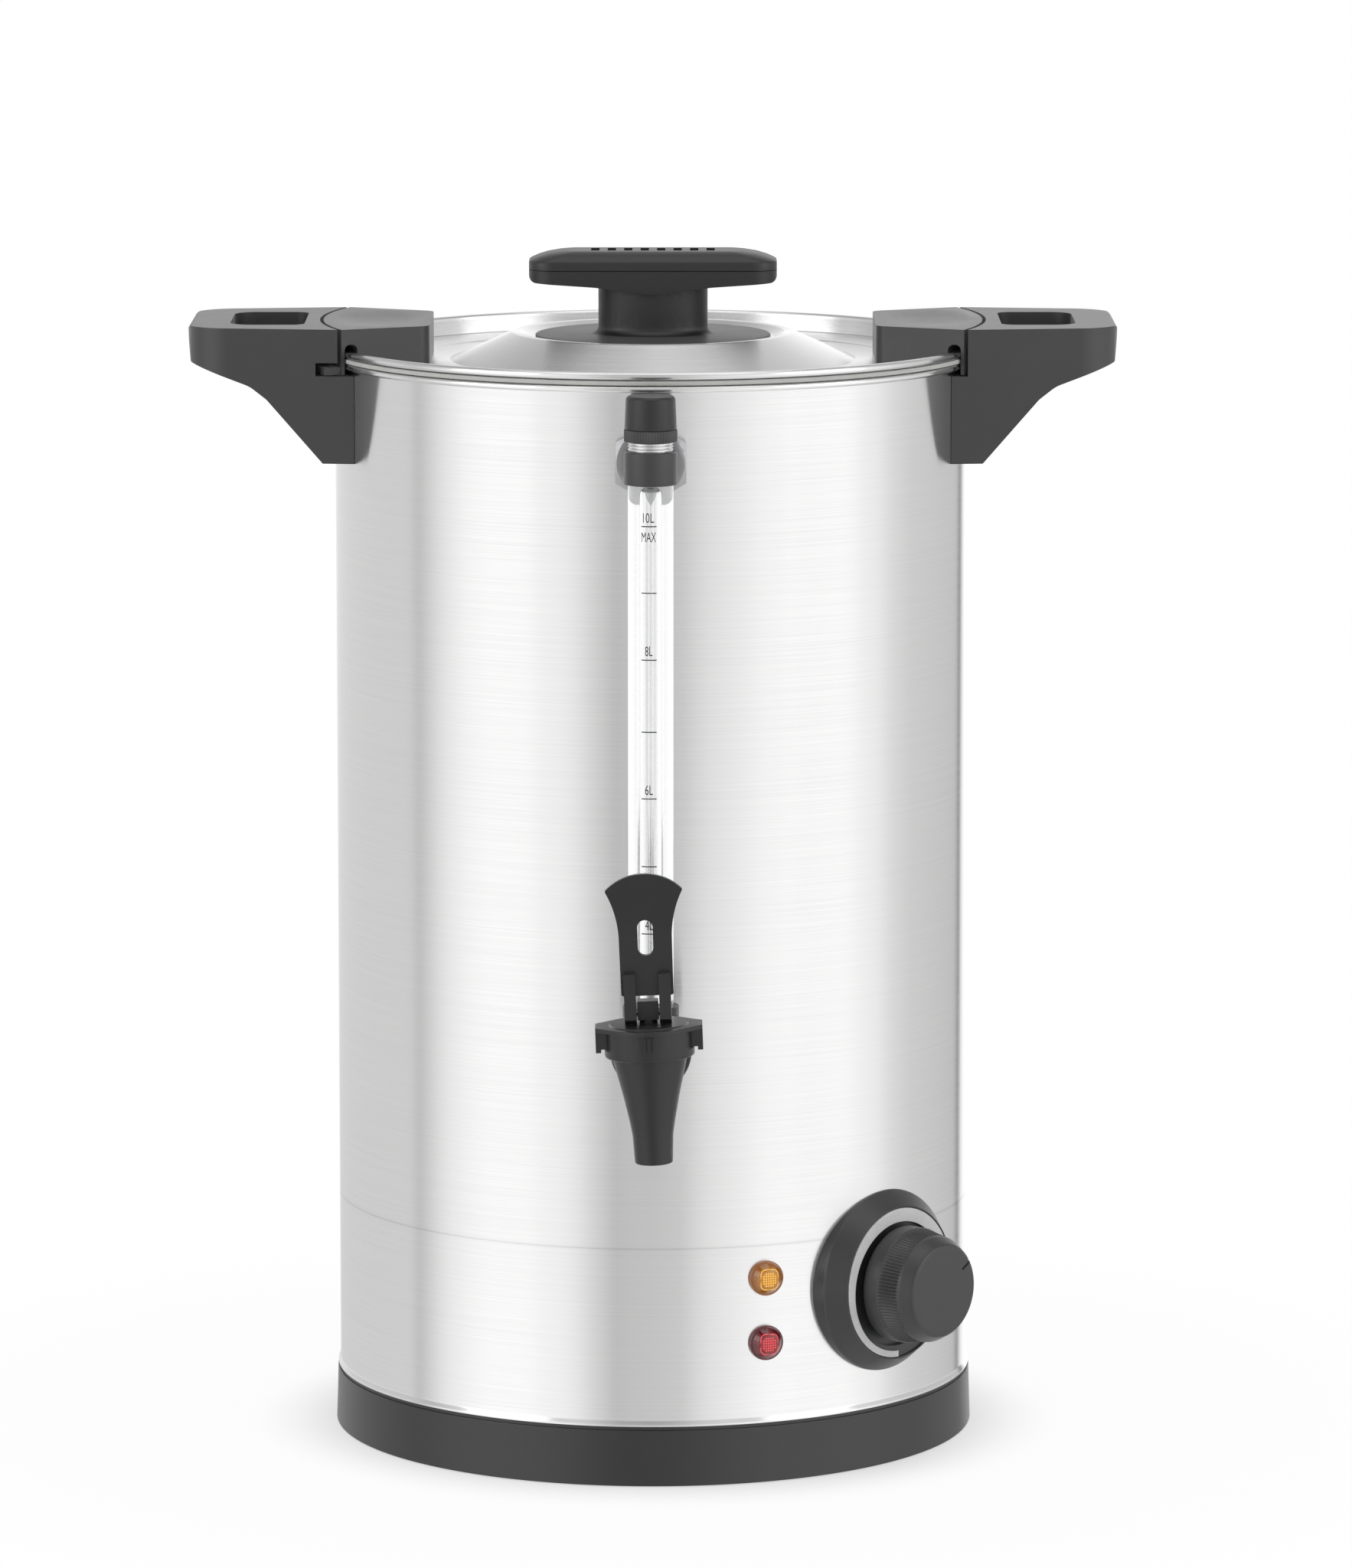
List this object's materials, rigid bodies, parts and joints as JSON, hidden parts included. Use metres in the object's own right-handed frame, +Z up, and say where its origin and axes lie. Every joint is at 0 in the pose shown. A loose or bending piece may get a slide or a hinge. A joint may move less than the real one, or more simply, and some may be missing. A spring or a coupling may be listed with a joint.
{
  "type": "hot water urn",
  "caption": "Free-standing hot water urn: steel tank with side handles, locking lid with a centre knob, sight gauge, lever tap, thermostat dial and pilot lamps.",
  "frame": {"origin": "on the tank's axis, in the plane of the foot ring's underside", "axes": "+Z up along the tank's axis, -Y the front with the tap and gauge, +X to the right of someone who stands in front"},
  "size_m": [0.3336, 0.3046, 0.4303],
  "materials": {
    "steel": "brushed round the tank's axis",
    "polished": "bright turned metal",
    "aluminium": "plain",
    "black_plastic": "fine matt grain",
    "dark_plastic": "satin",
    "silver_plastic": "satin silver",
    "clear_tube": "clear",
    "silicone": "translucent white",
    "foot_rubber": "matt",
    "amber_lens": "translucent amber",
    "red_lens": "translucent red",
    "screw_steel": "plain zinc",
    "brass": "plain",
    "wire_blue": "silicone-sleeved wire"
  },
  "bodies": {
    "urn": {"tank_wall": "steel", "body_skirt": "steel", "tank_floor": "steel", "base_ring": "black_plastic", "foot_ring": "foot_rubber", "base_plate": "screw_steel", "base_brackets": "screw_steel", "base_screws": "screw_steel", "heat_plate": "aluminium", "heating_element": "screw_steel", "dry_boil_cutout": "black_plastic", "thermostat_body": "screw_steel", "thermostat_screws": "screw_steel", "capillary_bulb": "brass", "terminal_block": "dark_plastic", "wiring": "wire_blue", "cord_gland": "black_plastic", "gland_nut": "black_plastic", "lamp_amber": "amber_lens", "lamp_red": "red_lens", "lamp_clips": "screw_steel", "dial_bezel": "black_plastic", "dial_scale": "silver_plastic", "handle_left": "black_plastic", "handle_right": "black_plastic", "handle_washers": "screw_steel", "handle_screws": "screw_steel", "sight_tube": "clear_tube", "gauge_holder": "dark_plastic", "gauge_hex_nut": "polished", "gauge_washer": "silicone", "gauge_inner_nut": "screw_steel", "gauge_collar": "polished", "gauge_lock_ring": "dark_plastic", "gauge_cap": "dark_plastic", "gauge_seals": "silicone", "gauge_lower_nut": "dark_plastic", "tap_shank": "polished", "shank_flange": "dark_plastic", "shank_seal": "silicone", "shank_nut": "polished", "tap_body": "dark_plastic", "tap_bonnet": "dark_plastic", "bonnet_gasket": "silicone", "tap_spring": "screw_steel"},
    "lid_ring": {"lid_seal": "silicone"},
    "lid": {"lid_disc": "steel", "lid_ear_left": "black_plastic", "lid_ear_right": "black_plastic", "ear_screws": "screw_steel", "knob_base": "black_plastic", "knob_cap": "black_plastic", "knob_washer": "screw_steel", "knob_screw": "screw_steel"},
    "stem": {"tap_stem": "dark_plastic", "seat_cup": "silicone", "lever_pin": "screw_steel"},
    "lever": {"tap_lever": "dark_plastic"},
    "dial": {"dial_knob": "black_plastic", "thermostat_shaft": "screw_steel"}
  },
  "joints": [
    {"name": "lid_turn", "type": "hinge", "parent": "urn", "child": "lid_ring", "pos_m": [0, 0, 0.3935], "axis": [0, 0, 1], "range_deg": [0, 25]},
    {"name": "lid_lift", "type": "slide", "parent": "lid_ring", "child": "lid", "axis": [0, 0, 1], "range_m": [0, 0.15]},
    {"name": "stem_lift", "type": "slide", "parent": "urn", "child": "stem", "axis": [-0.0375, 0, 0.9993], "range_m": [0, 0.004], "stiffness_N_per_m": 800, "springref_m": -0.006, "deforming": ["tap_spring"]},
    {"name": "lever_tilt", "type": "hinge", "parent": "stem", "child": "lever", "pos_m": [-0.00134, -0.16, 0.17977], "axis": [0.9993, 0, 0.0375], "range_deg": [0, 50]},
    {"name": "dial_turn", "type": "hinge", "parent": "urn", "child": "dial", "pos_m": [0, 0, 0.0675], "axis": [0.723, -0.6909, 0], "range_deg": [-48, 252]}
  ],
  "couplings": [
    {"joint": "lever_tilt", "follows": "stem_lift", "rad_per_m": 217.73}
  ]
}
